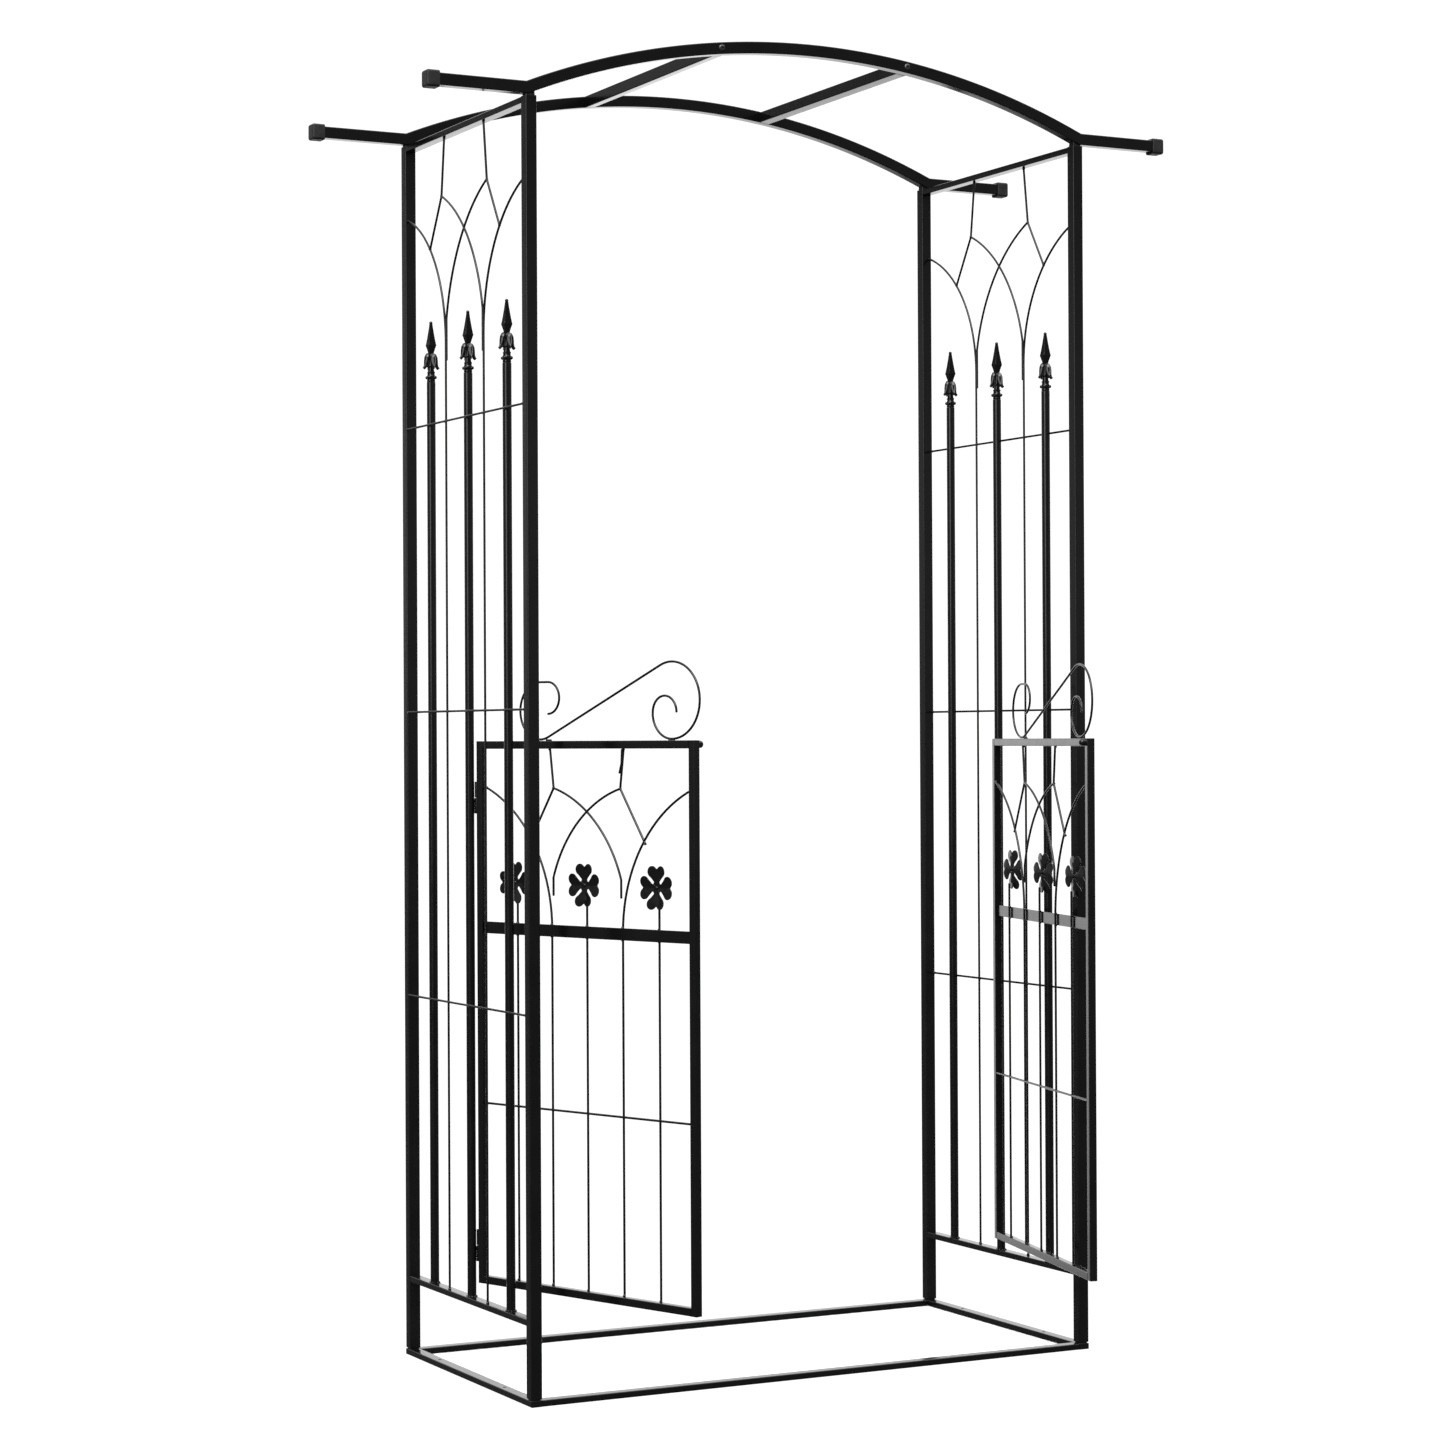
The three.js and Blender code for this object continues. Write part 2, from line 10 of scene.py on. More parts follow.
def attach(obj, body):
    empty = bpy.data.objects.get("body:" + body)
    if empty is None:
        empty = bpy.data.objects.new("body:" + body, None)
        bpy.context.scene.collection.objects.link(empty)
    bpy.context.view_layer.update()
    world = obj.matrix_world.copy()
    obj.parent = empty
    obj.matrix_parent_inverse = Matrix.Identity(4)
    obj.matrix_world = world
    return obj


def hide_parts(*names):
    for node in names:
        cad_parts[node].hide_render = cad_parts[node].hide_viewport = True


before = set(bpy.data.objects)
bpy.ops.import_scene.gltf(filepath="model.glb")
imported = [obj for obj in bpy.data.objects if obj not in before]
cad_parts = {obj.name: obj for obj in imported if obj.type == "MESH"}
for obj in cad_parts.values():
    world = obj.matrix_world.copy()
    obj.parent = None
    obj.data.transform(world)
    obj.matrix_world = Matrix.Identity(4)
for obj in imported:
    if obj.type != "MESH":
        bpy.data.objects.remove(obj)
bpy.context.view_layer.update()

# ---------- the arch's own sizes, in millimetres ----------

MM = 0.001
POST_X = 500.0
PANEL_DEPTH = 491.0
MIDDLE_Y = PANEL_DEPTH / 2
POST_TOP = 2011.0
POST = 19.0
BAR_HEIGHT = 10.0
BAR_EDGE = 1.6
POST_FOOT = BAR_HEIGHT + BAR_EDGE
POST_WALL = 1.4
POST_EDGE = 2.0
SPIGOT = 14.4
SPIGOT_EDGE = 1.5
GAP = 0.3

PEG_HOLE = 6.0
PEG_HOLE_OFFSET = 131.5

ARCH_RADIUS = 1309.5
ARCH_CENTRE_Z = 814.5
STUB_Z = 2022.5
STUB_END = 668.0
CAP_END = 673.0
CAP_LENGTH = 22.0
RUNG_X = 169.7

RAIL_TOP_Z = 2010.5
RAIL_LOW_Z = 132.5
PICKET = 14.5
PICKET_SPACING = 154.5
PICKET_TOP = 1610.0
PICKET_IN = 1.6
WIRE = 3.8
PANEL_WIRE_OUT = 4.4
CROSS_WIRE_OUT = 7.5
CROSS_WIRE_Z = (598.5, 1068.5, 1538.5)

HINGE_INSET = 12.6
HINGE_FORWARD = 4.0
GATE_TUBE = 12.5
GATE_EDGE = 1.4
GATE_START = 4.5
GATE_LENGTH = 481.0
GATE_LOW_Z = 155.0
GATE_TOP_Z = 1020.0
MID_RAIL_Z = 723.0
MID_RAIL_HEIGHT = 19.0
MID_RAIL_THICK = 4.0
GATE_WIRE_BACK = 4.3
GATE_CROSS_Z = 442.0
CLOVER_Z = 796.0
GATE_OPEN = {"left": 70.5, "right": 76.3}
CLOVER_TWIST = {"left": 0.0, "right": 9.0}
HINGE_Z = (214.2, 929.7)
HINGE_HEIGHT = 51.0
HINGE_RADIUS = 4.0

SIDES = {"left": -1, "right": 1}
ENDS = {"front": 0.0, "rear": PANEL_DEPTH}

# ---------- mesh building: a part is (list of points in mm, list of faces) ----------


def moved(part, matrix):
    points, faces = part
    return [matrix @ Vector(p) for p in points], faces


def shifted(part, x, y, z):
    return moved(part, Matrix.Translation((x, y, z)))


def turned(part, degrees, axis):
    return moved(part, Matrix.Rotation(math.radians(degrees), 4, axis))


def rings_to_part(rings, close_loop=False):
    """Skin over rings of points. The ends are capped, or joined to each other."""
    count = len(rings[0])
    points = [p for ring in rings for p in ring]
    faces = []
    spans = len(rings) if close_loop else len(rings) - 1
    for i in range(spans):
        here = i * count
        there = ((i + 1) % len(rings)) * count
        for k in range(count):
            n = (k + 1) % count
            faces.append((here + k, here + n, there + n, there + k))
    if not close_loop:
        faces.append(tuple(reversed(range(count))))
        faces.append(tuple(range((len(rings) - 1) * count, len(rings) * count)))
    return points, faces


def rounded_outline(width, height, radius, segments=4):
    """Corner-rounded rectangle about the origin, as (a, b) pairs, counter-clockwise."""
    points = []
    corners = ((1, -1, -90), (1, 1, 0), (-1, 1, 90), (-1, -1, 180))
    for sign_a, sign_b, start in corners:
        centre_a = sign_a * (width / 2 - radius)
        centre_b = sign_b * (height / 2 - radius)
        for i in range(segments + 1):
            angle = math.radians(start + 90 * i / segments)
            points.append((centre_a + radius * math.cos(angle), centre_b + radius * math.sin(angle)))
    return points


def bar(length, width, height, radius, end_round=0.5):
    """Bar along Z from 0 to length, with rounded long edges and eased ends."""
    steps = ((end_round, 0.0), (end_round * 0.3, end_round * 0.3), (0.0, end_round))
    levels = list(steps) + [(inset, length - z) for inset, z in reversed(steps)]
    rings = []
    for inset, z in levels:
        outline = rounded_outline(width - 2 * inset, height - 2 * inset, max(radius - inset, 0.1))
        rings.append([(a, b, z) for a, b in outline])
    return rings_to_part(rings)


def tube_bar(length, width, wall, radius, end_round=0.6):
    """Square tube along Z, open at both ends."""
    steps = ((0.0, end_round), (end_round * 0.3, end_round * 0.3), (end_round, 0.0))
    outside = [(inset, length - z) for inset, z in steps]
    outside = [(inset, z) for inset, z in reversed(steps)] + outside
    rings = []
    for inset, z in outside:
        outline = rounded_outline(width - 2 * inset, width - 2 * inset, radius - inset)
        rings.append([(a, b, z) for a, b in outline])
    for z in (length, 0.0):
        outline = rounded_outline(width - 2 * wall, width - 2 * wall, radius * 0.5)
        rings.append([(a, b, z) for a, b in outline])
    return rings_to_part(rings, close_loop=True)


def along_x(part):
    return turned(part, 90, "Y")


def along_y(part):
    return turned(part, -90, "X")


def circle(radius, z, sides):
    """Points on a level circle about the Z axis."""
    turns = [2 * math.pi * k / sides for k in range(sides)]
    return [(radius * math.cos(angle), radius * math.sin(angle), z) for angle in turns]


def lathe(profile, sides=24, hollow=False):
    """Solid of revolution about Z from (radius, z) pairs; a hollow one joins its last pair to its first."""
    return rings_to_part([circle(radius, z, sides) for radius, z in profile], close_loop=hollow)


def arc(centre_a, centre_b, radius, start, end, steps):
    """Points (a, b) on an arc, angles in degrees."""
    points = []
    for i in range(steps + 1):
        angle = math.radians(start + (end - start) * i / steps)
        points.append((centre_a + radius * math.cos(angle), centre_b + radius * math.sin(angle)))
    return points


def arc_through(p, q, r, steps):
    """Points on the arc from p to r that passes through q."""
    d = 2 * (p[0] * (q[1] - r[1]) + q[0] * (r[1] - p[1]) + r[0] * (p[1] - q[1]))
    squares = [v[0] * v[0] + v[1] * v[1] for v in (p, q, r)]
    centre_a = squares[0] * (q[1] - r[1]) + squares[1] * (r[1] - p[1]) + squares[2] * (p[1] - q[1])
    centre_b = squares[0] * (r[0] - q[0]) + squares[1] * (p[0] - r[0]) + squares[2] * (q[0] - p[0])
    centre_a /= d
    centre_b /= d
    radius = math.hypot(p[0] - centre_a, p[1] - centre_b)
    start = math.degrees(math.atan2(p[1] - centre_b, p[0] - centre_a))
    end = math.degrees(math.atan2(r[1] - centre_b, r[0] - centre_a))
    return arc(centre_a, centre_b, radius, start, end, steps)


def wire(points, normal, radius=WIRE / 2, sides=14):
    """Round wire through points that lie in a plane with the given normal; its ends are domed."""
    points = [Vector(p) for p in points]
    normal = Vector(normal).normalized()
    tangents = []
    for i in range(len(points)):
        before = points[max(i - 1, 0)]
        after = points[min(i + 1, len(points) - 1)]
        tangents.append((after - before).normalized())
    stations = [(points[0] - tangents[0] * radius * 0.5, tangents[0], 0.35)]
    stations.append((points[0] - tangents[0] * radius * 0.25, tangents[0], 0.8))
    stations += [(p, t, 1.0) for p, t in zip(points, tangents)]
    stations.append((points[-1] + tangents[-1] * radius * 0.25, tangents[-1], 0.8))
    stations.append((points[-1] + tangents[-1] * radius * 0.5, tangents[-1], 0.35))
    rings = []
    for centre, tangent, share in stations:
        side = normal.cross(tangent).normalized()
        ring = []
        for k in range(sides):
            angle = 2 * math.pi * k / sides
            offset = normal * math.cos(angle) + side * math.sin(angle)
            ring.append(centre + offset * radius * share)
        rings.append(ring)
    return rings_to_part(rings)


def weld_bead(centre, across, up, seed):
    """Small uneven lump of weld metal."""
    rings = []
    for i in range(1, 6):
        polar = math.pi * i / 6
        ring = []
        for k in range(9):
            angle = 2 * math.pi * k / 9
            level = math.sin(polar)
            direction = Vector((level * math.cos(angle), level * math.sin(angle), math.cos(polar)))
            size = 1 + 0.22 * noise.noise(direction * 1.7 + Vector((seed * 3.1, seed * 1.7, 0.0)))
            ring.append(Vector(centre) + direction * Vector((across, across, up)) * size)
        rings.append(ring)
    return rings_to_part(rings)


def mesh_from_parts(name, parts):
    """One mesh in metres from several parts in millimetres."""
    points = []
    faces = []
    for part_points, part_faces in parts:
        start = len(points)
        points += [Vector(p) * MM for p in part_points]
        faces += [tuple(start + i for i in face) for face in part_faces]
    mesh = bpy.data.meshes.new(name)
    mesh.from_pydata(points, [], faces)
    return mesh


def keep_faces_flat(piece):
    """Shades broad faces flat, so that only the rounded edges between them turn the light."""
    modifier = piece.modifiers.new("flat_faces", "WEIGHTED_NORMAL")
    modifier.keep_sharp = True


def add_piece(name, parts, material, body, stands_for=(), sharp_degrees=40):
    """One named object from several parts, riding on its body."""
    mesh = mesh_from_parts(name, parts)
    cleaned = bmesh.new()
    cleaned.from_mesh(mesh)
    bmesh.ops.recalc_face_normals(cleaned, faces=cleaned.faces)
    cleaned.to_mesh(mesh)
    cleaned.free()
    mesh.materials.append(material)
    mesh.shade_smooth()
    mesh.set_sharp_from_angle(angle=math.radians(sharp_degrees))
    piece = bpy.data.objects.new(name, mesh)
    bpy.context.scene.collection.objects.link(piece)
    keep_faces_flat(piece)
    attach(piece, body)
    if stands_for:
        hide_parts(*stands_for)
    return piece


def drill(piece, cutters):
    """Cuts the cutter parts out of a piece."""
    tool = bpy.data.objects.new("drill", mesh_from_parts("drill", cutters))
    bpy.context.scene.collection.objects.link(tool)
    modifier = piece.modifiers.new("holes", "BOOLEAN")
    modifier.operation = "DIFFERENCE"
    modifier.solver = "EXACT"
    modifier.object = tool
    bpy.context.view_layer.update()
    shaped = piece.evaluated_get(bpy.context.evaluated_depsgraph_get())
    piece.data = bpy.data.meshes.new_from_object(shaped)
    piece.modifiers.clear()
    bpy.data.objects.remove(tool)
    piece.data.set_sharp_from_angle(angle=math.radians(40))
    keep_faces_flat(piece)


# ---------- materials ----------


def node_material(name):
    material = bpy.data.materials.new(name)
    material.use_nodes = True
    nodes = material.node_tree.nodes
    return material, nodes, material.node_tree.links, nodes["Principled BSDF"]


def noise_texture(nodes, links, scale, detail, coordinates):
    texture = nodes.new("ShaderNodeTexNoise")
    texture.inputs["Scale"].default_value = scale
    texture.inputs["Detail"].default_value = detail
    links.new(coordinates.outputs["Object"], texture.inputs["Vector"])
    return texture


def colour_ramp(nodes, links, source, stops):
    ramp = nodes.new("ShaderNodeValToRGB")
    ramp.color_ramp.elements[0].position = stops[0][0]
    ramp.color_ramp.elements[0].color = (*stops[0][1], 1)
    ramp.color_ramp.elements[1].position = stops[-1][0]
    ramp.color_ramp.elements[1].color = (*stops[-1][1], 1)
    for position, colour in stops[1:-1]:
        element = ramp.color_ramp.elements.new(position)
        element.color = (*colour, 1)
    links.new(source, ramp.inputs["Fac"])
    return ramp


def range_map(nodes, links, source, low, high):
    mapped = nodes.new("ShaderNodeMapRange")
    mapped.inputs["From Min"].default_value = 0.3
    mapped.inputs["From Max"].default_value = 0.7
    mapped.inputs["To Min"].default_value = low
    mapped.inputs["To Max"].default_value = high
    links.new(source, mapped.inputs["Value"])
    return mapped


def powder_coat(name, grey, roughness, peel):
    """Gloss black powder coat: faint cloudiness, orange-peel texture and fine dust specks."""
    material, nodes, links, shader = node_material(name)
    place = nodes.new("ShaderNodeTexCoord")
    cloud = noise_texture(nodes, links, 22, 3, place)
    dark = tuple(grey * 0.75 for _ in range(3))
    light = (grey * 1.25, grey * 1.25, grey * 1.35)
    tone = colour_ramp(nodes, links, cloud.outputs["Fac"], [(0.3, dark), (0.7, light)])
    specks = noise_texture(nodes, links, 900, 2, place)
    speck_mask = colour_ramp(nodes, links, specks.outputs["Fac"], [(0.70, (0, 0, 0)), (0.78, (1, 1, 1))])
    mix = nodes.new("ShaderNodeMix")
    mix.data_type = "RGBA"
    mix.inputs["B"].default_value = (grey * 3, grey * 3, grey * 3.1, 1)
    links.new(speck_mask.outputs["Color"], mix.inputs["Factor"])
    links.new(tone.outputs["Color"], mix.inputs["A"])
    links.new(mix.outputs["Result"], shader.inputs["Base Color"])
    sheen_noise = noise_texture(nodes, links, 60, 3, place)
    rough = range_map(nodes, links, sheen_noise.outputs["Fac"], roughness * 0.85, roughness * 1.15)
    links.new(rough.outputs["Result"], shader.inputs["Roughness"])
    peel_noise = noise_texture(nodes, links, 420, 2, place)
    bump = nodes.new("ShaderNodeBump")
    bump.inputs["Strength"].default_value = peel
    bump.inputs["Distance"].default_value = 0.0003
    links.new(peel_noise.outputs["Fac"], bump.inputs["Height"])
    links.new(bump.outputs["Normal"], shader.inputs["Normal"])
    shader.inputs["IOR"].default_value = 1.5
    return material


def moulded_plastic():
    """Dull black plastic with a fine moulded grain."""
    material, nodes, links, shader = node_material("cap_plastic")
    place = nodes.new("ShaderNodeTexCoord")
    cloud = noise_texture(nodes, links, 90, 4, place)
    stops = [(0.3, (0.010, 0.010, 0.011)), (0.7, (0.018, 0.018, 0.019))]
    tone = colour_ramp(nodes, links, cloud.outputs["Fac"], stops)
    links.new(tone.outputs["Color"], shader.inputs["Base Color"])
    rough = range_map(nodes, links, cloud.outputs["Fac"], 0.5, 0.62)
    links.new(rough.outputs["Result"], shader.inputs["Roughness"])
    grain = nodes.new("ShaderNodeTexVoronoi")
    grain.inputs["Scale"].default_value = 1400
    links.new(place.outputs["Object"], grain.inputs["Vector"])
    bump = nodes.new("ShaderNodeBump")
    bump.inputs["Strength"].default_value = 0.25
    bump.inputs["Distance"].default_value = 0.0003
    links.new(grain.outputs["Distance"], bump.inputs["Height"])
    links.new(bump.outputs["Normal"], shader.inputs["Normal"])
    return material


def dark_screw():
    """Plated screw metal darkened by the coating around it."""
    material, nodes, links, shader = node_material("screw_metal")
    place = nodes.new("ShaderNodeTexCoord")
    cloud = noise_texture(nodes, links, 500, 4, place)
    stops = [(0.3, (0.05, 0.05, 0.053)), (0.7, (0.12, 0.12, 0.125))]
    tone = colour_ramp(nodes, links, cloud.outputs["Fac"], stops)
    links.new(tone.outputs["Color"], shader.inputs["Base Color"])
    rough = range_map(nodes, links, cloud.outputs["Fac"], 0.25, 0.4)
    links.new(rough.outputs["Result"], shader.inputs["Roughness"])
    shader.inputs["Metallic"].default_value = 0.8
    return material


frame_paint = powder_coat("frame_paint", 0.0035, 0.17, 0.05)
gate_paint = powder_coat("gate_paint", 0.0035, 0.17, 0.05)
wire_paint = powder_coat("wire_paint", 0.0035, 0.17, 0.06)
casting_paint = powder_coat("casting_paint", 0.0035, 0.13, 0.10)
cap_plastic = moulded_plastic()
screw_metal = dark_screw()

# ---------- ground frame and posts ----------


def ground_bars():
    for end, y in ENDS.items():
        length = 2 * POST_X - POST - 2 * GAP
        rail = shifted(along_x(bar(length, BAR_HEIGHT, POST, BAR_EDGE)), -length / 2, y, BAR_HEIGHT / 2)
        add_piece(f"bar_{end}", [rail], frame_paint, "frame", [f"ground_bar_{end}"])
    for side, out in SIDES.items():
        x = out * POST_X
        length = PANEL_DEPTH + POST
        rail = shifted(along_y(bar(length, POST, BAR_HEIGHT, BAR_EDGE)), x, -POST / 2, BAR_HEIGHT / 2)
        node = f"ground_bar_{side}"
        piece = add_piece(f"bar_{side}", [rail], frame_paint, "frame", [node])
        hole = [(PEG_HOLE / 2, -5), (PEG_HOLE / 2, BAR_HEIGHT + 5)]
        drill(piece, [shifted(lathe(hole), x, MIDDLE_Y + way * PEG_HOLE_OFFSET, 0) for way in (-1, 1)])
        for end, y in ENDS.items():
            plug = shifted(bar(44, SPIGOT, SPIGOT, SPIGOT_EDGE), x, y, BAR_HEIGHT - 2)
            fillet = shifted(bar(1.2, SPIGOT + 1.6, SPIGOT + 1.6, 2.0), x, y, BAR_HEIGHT - 0.4)
            add_piece(f"foot_spigot_{end}_{side}", [plug, fillet], frame_paint, "frame")


def posts():
    for end, y in ENDS.items():
        for side, out in SIDES.items():
            tube = tube_bar(POST_TOP - POST_FOOT, POST, POST_WALL, POST_EDGE, 0.9)
            tube = shifted(tube, out * POST_X, y, POST_FOOT)
            node = f"post_{end}_{side}"
            add_piece(f"upright_{end}_{side}", [tube], frame_paint, "frame", [node])


# ---------- arches, caps and rungs ----------


def arch_height(x, radius=ARCH_RADIUS):
    return ARCH_CENTRE_Z + math.sqrt(radius * radius - x * x)


def arch_outline(trim):
    """Front view of an arch beam, trimmed inward all round."""
    outer = ARCH_RADIUS + POST / 2 - trim
    inner = ARCH_RADIUS - POST / 2 + trim
    top = STUB_Z + POST / 2 - trim
    low = STUB_Z - POST / 2 + trim
    end = STUB_END - trim
    top_angle = math.degrees(math.asin((top - ARCH_CENTRE_Z) / outer))
    low_angle = math.degrees(math.asin((low - ARCH_CENTRE_Z) / inner))
    over = arc(0, ARCH_CENTRE_Z, outer, 180 - top_angle, top_angle, 72)
    under = arc(0, ARCH_CENTRE_Z, inner, low_angle, 180 - low_angle, 72)
    return [(-end, low), (-end, top)] + over + [(end, top), (end, low)] + under


def arches():
    edge = 1.8
    low = STUB_Z - POST / 2
    for end, y in ENDS.items():
        front_rings = []
        for i in range(5):
            angle = math.radians(90 * i / 4)
            face_y = y - POST / 2 + edge * (1 - math.cos(angle))
            outline = arch_outline(edge * (1 - math.sin(angle)))
            front_rings.append([(x, face_y, z) for x, z in outline])
        rear_rings = [[(x, 2 * y - face_y, z) for x, face_y, z in ring] for ring in reversed(front_rings)]
        parts = [rings_to_part(front_rings + rear_rings)]
        for side, out in SIDES.items():
            parts.append(shifted(bar(50, SPIGOT, SPIGOT, SPIGOT_EDGE), out * POST_X, y, low - 42))
            fillet = bar(1.0, SPIGOT + 1.4, SPIGOT + 1.4, 2.0, 0.3)
            parts.append(shifted(fillet, out * POST_X, y, low - 0.7))
            caps(end, y, side, out)
        add_piece(f"arch_beam_{end}", parts, frame_paint, "frame", [f"arch_{end}"])


def caps(end, y, side, out):
    """Moulded end cap, pushed over the tube end, with soft edges."""
    profile = ((3.4, 0.0), (1.8, 0.5), (0.7, 1.4), (0.15, 2.6), (0.0, 4.2),
               (0.0, CAP_LENGTH - 1.2), (0.5, CAP_LENGTH - 0.4), (1.3, CAP_LENGTH))
    rings = []
    for inset, depth in profile:
        outline = rounded_outline(26 - 2 * inset, 24 - 2 * inset, max(3.6 - inset * 0.6, 1.0), 5)
        rings.append([(out * (CAP_END - depth), y + b, STUB_Z + a) for a, b in outline])
    inside = rounded_outline(POST + 2 * GAP, POST + 2 * GAP, 2.0, 5)
    for depth in (CAP_LENGTH, CAP_END - STUB_END - GAP):
        rings.append([(out * (CAP_END - depth), y + b, STUB_Z + a) for a, b in inside])
    shell = rings_to_part(rings)
    add_piece(f"cap_{end}_{side}", [shell], cap_plastic, "frame", [f"arch_cap_{end}_{side}"])


def screw_head():
    """Button head facing -Y with a hexagon socket, its seat at y = 0."""
    rings = []
    for radius, height in ((5.6, 0.0), (5.6, 0.5), (5.1, 1.3), (4.2, 1.9), (3.1, 2.25), (2.4, 2.3)):
        rings.append(circle(radius, height, 24))
    for height in (2.2, 0.8):
        socket = []
        for k in range(24):
            angle = math.pi * k / 12
            flat = 1.75 / math.cos(((angle + math.pi / 6) % (math.pi / 3)) - math.pi / 6)
            socket.append((flat * math.cos(angle), flat * math.sin(angle), height))
        rings.append(socket)
    return turned(rings_to_part(rings), 90, "X")


def rungs():
    for side, out in SIDES.items():
        x = out * RUNG_X
        length = PANEL_DEPTH - POST - 2 * GAP
        tilt = math.degrees(math.asin(x / ARCH_RADIUS))
        rung = turned(along_y(bar(length, POST, POST, 1.8)), tilt, "Y")
        rung = shifted(rung, x, POST / 2 + GAP, arch_height(x))
        add_piece(f"rung_{side}", [rung], frame_paint, "frame", [f"arch_rung_{side}"])
        front = shifted(screw_head(), x, -POST / 2, arch_height(x))
        rear = shifted(turned(screw_head(), 180, "Z"), x, PANEL_DEPTH + POST / 2, arch_height(x))
        add_piece(f"rung_screws_{side}", [front, rear], screw_metal, "frame")


# ---------- tracery shared by the panels and the gates ----------


def tracery(stem, spring_z, bend_radius, reach, node, node_z, cross_z, merge_z, tail_z,
            strut, strut_z, top_z, top_across):
    """The bent wires of a pointed-arch tracery, as lists of (across, up)."""
    beside = stem - WIRE * 0.9
    lines = []
    for way in (-1, 1):
        bend_end = math.degrees(math.acos(1 - (reach - stem) / bend_radius))
        bend = arc(stem + bend_radius, spring_z, bend_radius, 180, 180 - bend_end, 22)
        crossing = arc_through((-node, node_z), (0, cross_z), (beside, merge_z), 22) + [(beside, tail_z)]
        strut_line = [(node, node_z), (strut, strut_z)]
        upright = [(node, node_z), (top_across, top_z)]
        for line in (bend, crossing, strut_line, upright):
            lines.append([(way * a, z) for a, z in line])
    return lines


# ---------- side panels ----------


def spear():
    """Four-sided spear blade with softened edges, from its neck to its tip."""
    stations = ((3.4, 0.0), (3.5, 1.5), (4.6, 6.5), (6.4, 13.2), (6.95, 14.7), (7.0, 15.6), (6.6, 17.0),
                (5.3, 25.0), (3.9, 35.0), (2.7, 44.5), (2.1, 50.0))
    rings = []
    for half_width, z in stations:
        outline = rounded_outline(2 * half_width, 2 * half_width, half_width * 0.12, 3)
        rings.append([(a, b, z) for a, b in outline])
    return rings_to_part(rings)


def drooping_leaf():
    """Broad leaf that springs from the neck, arches over and flicks its tip out."""
    centre_line = ((1.4, 43.5), (3.8, 46.0), (7.2, 45.0), (9.6, 40.5), (10.4, 34.5), (10.5, 29.0),
                   (11.2, 24.8), (13.6, 22.0))
    widths = (4.0, 6.6, 8.8, 9.8, 9.6, 8.0, 5.2, 3.0)
    rings = []
    for i, ((r, z), width) in enumerate(zip(centre_line, widths)):
        before = centre_line[max(i - 1, 0)]
        after = centre_line[min(i + 1, len(centre_line) - 1)]
        tangent = Vector((after[0] - before[0], 0, after[1] - before[1])).normalized()
        outward = Vector((-tangent.z, 0, tangent.x))
        ring = []
        for k in range(16):
            angle = 2 * math.pi * k / 16
            across = math.cos(angle) * width / 2
            rib = 0.7 * math.exp(-(across / 1.1) ** 2) if math.sin(angle) > 0 else 0.0
            curl = 2.6 * (2 * across / width) ** 2
            ring.append(Vector((r, across, z)) + outward * (math.sin(angle) * 1.5 + rib - curl))
        rings.append(ring)
    return rings_to_part(rings)


def ball(radius, x, y, z):
    """Small round boss."""
    polars = [math.pi * i / 12 for i in range(1, 12)]
    profile = [(radius * math.sin(polar), -radius * math.cos(polar)) for polar in polars]
    return shifted(lathe(profile, 20), x, y, z)


def finial():
    """Cast finial standing on a tube end at z = 0."""
    skirt = [(0.4, -12.0), (5.2, -12.0), (5.4, GAP), (6.6, GAP + 0.1), (7.0, 1.0), (7.0, 2.2),
             (6.6, 3.2), (6.9, 4.8), (7.3, 7.0), (7.1, 9.0), (6.5, 10.8), (6.1, 12.4), (5.9, 15.0),
             (5.2, 19.0), (4.5, 24.0), (4.1, 30.0), (3.8, 38.0), (3.5, 44.0), (3.2, 45.5), (0.4, 46.0)]
    parts = [lathe(skirt, 28), shifted(spear(), 0, 0, 45.0)]
    bead = [(0.3, 94.3), (2.1, 94.6), (2.7, 95.8), (2.9, 97.0), (2.6, 98.4), (1.6, 99.5), (0.3, 99.9)]
    parts.append(lathe(bead, 16))
    for k in range(4):
        parts.append(turned(drooping_leaf(), 90 * k, "Z"))
        corner = math.radians(90 * k + 45)
        parts.append(ball(2.9, 7.2 * math.cos(corner), 7.2 * math.sin(corner), 7.4))
        parts.append(ball(1.6, 5.4 * math.cos(corner), 5.4 * math.sin(corner), 15.5))
        parts.append(ball(1.5, 6.2 * math.cos(corner), 6.2 * math.sin(corner), 25.5))
    return parts


def side_panel(side, out):
    rail_length = PANEL_DEPTH - POST - 2 * GAP
    for where, top in (("top", RAIL_TOP_Z), ("bottom", RAIL_LOW_Z)):
        rail = along_y(bar(rail_length, POST, BAR_HEIGHT, BAR_EDGE))
        rail = shifted(rail, out * POST_X, POST / 2 + GAP, top - BAR_HEIGHT / 2)
        node = f"{side}_panel_{where}_rail"
        add_piece(f"{side}_rail_{where}", [rail], frame_paint, "frame", [node])
    x = out * (POST_X - PICKET_IN)
    for where, offset in (("front", -1), ("middle", 0), ("rear", 1)):
        y = MIDDLE_Y + offset * PICKET_SPACING
        foot = RAIL_LOW_Z + GAP
        height = PICKET_TOP - foot
        wall = [(7.25, 0.0), (7.25, height - 0.5), (6.8, height), (6.0, height), (6.0, 0.0)]
        tube = shifted(lathe(wall, 32, hollow=True), x, y, foot)
        node = f"{side}_panel_picket_{where}"
        add_piece(f"{side}_picket_{where}", [tube], frame_paint, "frame", [node])
        parts = [shifted(part, x, y, PICKET_TOP) for part in finial()]
        add_piece(f"{side}_finial_{where}", parts, casting_paint, "frame",
                  [f"{side}_panel_finial_{where}"], sharp_degrees=52)
    panel_wires(side, out)


